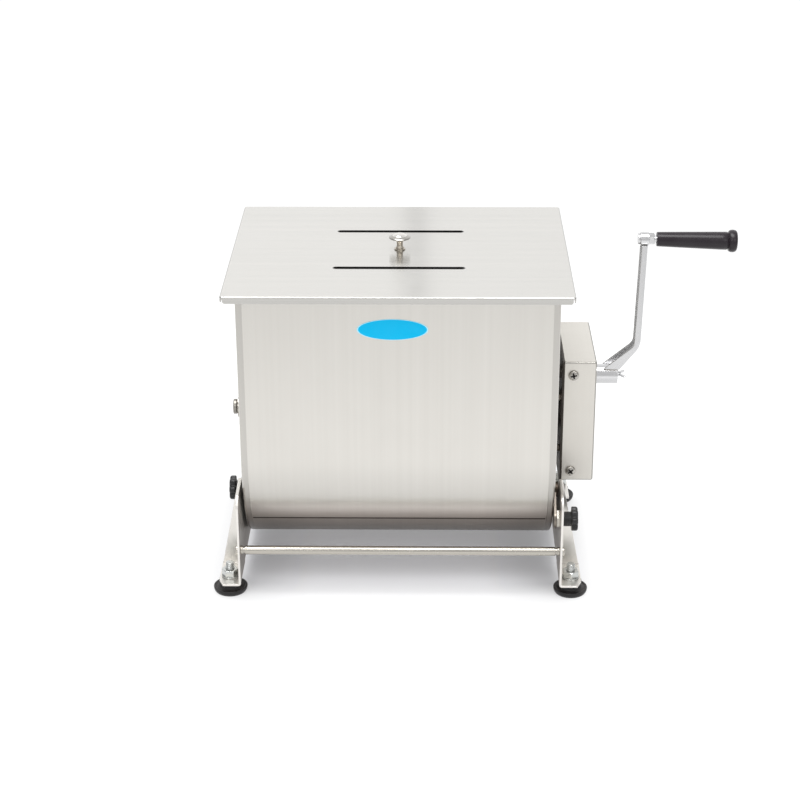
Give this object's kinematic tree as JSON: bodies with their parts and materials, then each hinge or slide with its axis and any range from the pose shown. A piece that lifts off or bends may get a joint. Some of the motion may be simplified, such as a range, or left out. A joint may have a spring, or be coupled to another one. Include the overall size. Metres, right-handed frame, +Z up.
{
  "type": "manual meat mixer",
  "caption": "Hand-cranked steel meat mixer: U-shaped lidded tank with geared paddle shaft, tilting on a low two-plate stand with rubber feet and a side crank with a turning grip.",
  "frame": {"origin": "the point on the supporting surface under the middle of the whole mixer's box, rubber feet standing on it, crank pointing up", "axes": "+X from the tank towards the gearbox and crank grip, +Y from the front towards the back, +Z up"},
  "size_m": [0.6164, 0.3256, 0.4045],
  "materials": {
    "brushed_tank": "brushed stainless sheet, satin",
    "brushed_lid": "finely brushed stainless sheet, brighter than the tank",
    "polished_steel": "polished and turned stainless",
    "plain_steel": "bright stainless fasteners and turned parts",
    "zinc_steel": "zinc-plated steel fasteners",
    "dark_plate": "dark brown-black painted steel, the plate behind the gearbox cover",
    "gear_steel": "cut and oiled steel gears",
    "black_rubber": "black moulded rubber",
    "black_plastic": "black glossy moulded plastic",
    "bush_plastic": "off-white bearing plastic",
    "label_blue": "blank bright blue label film"
  },
  "bodies": {
    "stand": {"left_side_plate": "brushed_tank", "right_side_plate": "brushed_tank", "front_tie_rod": "plain_steel", "rear_tie_rod": "plain_steel", "tie_rod_screws": "plain_steel", "rubber_feet": "black_rubber", "foot_bolts": "zinc_steel", "foot_washers": "zinc_steel", "foot_nuts": "zinc_steel", "tilt_lock_block": "plain_steel", "tilt_lock_washer": "plain_steel"},
    "tank": {"tank_shell": "brushed_tank", "tank_left_end": "brushed_tank", "tank_right_end": "brushed_tank", "blank_label": "label_blue", "left_bearing_housing": "plain_steel", "right_bearing_housing": "plain_steel", "shaft_bushes": "bush_plastic", "shaft_seals": "bush_plastic", "pivot_studs": "plain_steel", "pivot_washers": "plain_steel", "left_pivot_spacer": "black_plastic", "right_pivot_spacer": "plain_steel", "right_pivot_nut": "plain_steel", "lock_catch": "brushed_tank", "gearbox_back_plate": "dark_plate", "gearbox_cover": "brushed_tank", "cover_screws": "plain_steel", "gearbox_standoffs": "plain_steel", "gearbox_bolts": "plain_steel", "pinion_bushes": "bush_plastic"},
    "paddle": {"mixing_shaft": "plain_steel", "paddle_arms": "plain_steel", "paddle_blades": "plain_steel", "main_gear": "gear_steel", "gear_spacer": "plain_steel", "gear_washer": "plain_steel", "gear_nut": "plain_steel", "shaft_end_washer": "plain_steel", "shaft_end_bolt": "plain_steel"},
    "crank": {"pinion_shaft": "plain_steel", "pinion_gear": "gear_steel", "crank_hub": "polished_steel", "crank_arm": "polished_steel", "crank_eye": "polished_steel", "crank_wing_screw": "polished_steel", "grip_pin": "plain_steel", "grip_pin_nut": "plain_steel"},
    "grip": {"crank_grip": "black_plastic"},
    "lid": {"lid": "brushed_lid", "lid_knob": "polished_steel", "lid_knob_screw": "plain_steel"},
    "left_knob": {"left_pivot_knob": "black_plastic"},
    "lock": {"tilt_lock_knob": "black_plastic", "tilt_lock_screw": "plain_steel"}
  },
  "joints": [
    {"name": "tank_tilt", "type": "hinge", "parent": "stand", "child": "tank", "pos_m": [-0.08765, -0.08875, 0.11], "axis": [1, 0, 0], "range_deg": [0, 75]},
    {"name": "paddle_spin", "type": "hinge", "parent": "tank", "child": "paddle", "pos_m": [-0.08765, 0.00125, 0.1765], "axis": [1, 0, 0], "continuous": true},
    {"name": "crank_spin", "type": "hinge", "parent": "tank", "child": "crank", "pos_m": [0.16235, 0.00125, 0.2215], "axis": [1, 0, 0], "continuous": true},
    {"name": "grip_spin", "type": "hinge", "parent": "crank", "child": "grip", "pos_m": [0.26235, 0.00125, 0.39212], "axis": [0.9997, 0, -0.0235], "continuous": true},
    {"name": "lid_lift", "type": "slide", "parent": "tank", "child": "lid", "axis": [0, 0, 1], "range_m": [0, 0.2]},
    {"name": "left_knob_turn", "type": "hinge", "parent": "tank", "child": "left_knob", "pos_m": [-0.28265, -0.08875, 0.11], "axis": [1, 0, 0], "continuous": true},
    {"name": "lock_knob_turn", "type": "hinge", "parent": "stand", "child": "lock", "pos_m": [0.11735, -0.13375, 0.0931], "axis": [1, 0, 0], "continuous": true}
  ],
  "couplings": [
    {"joint": "crank_spin", "follows": "paddle_spin", "ratio": -3}
  ]
}
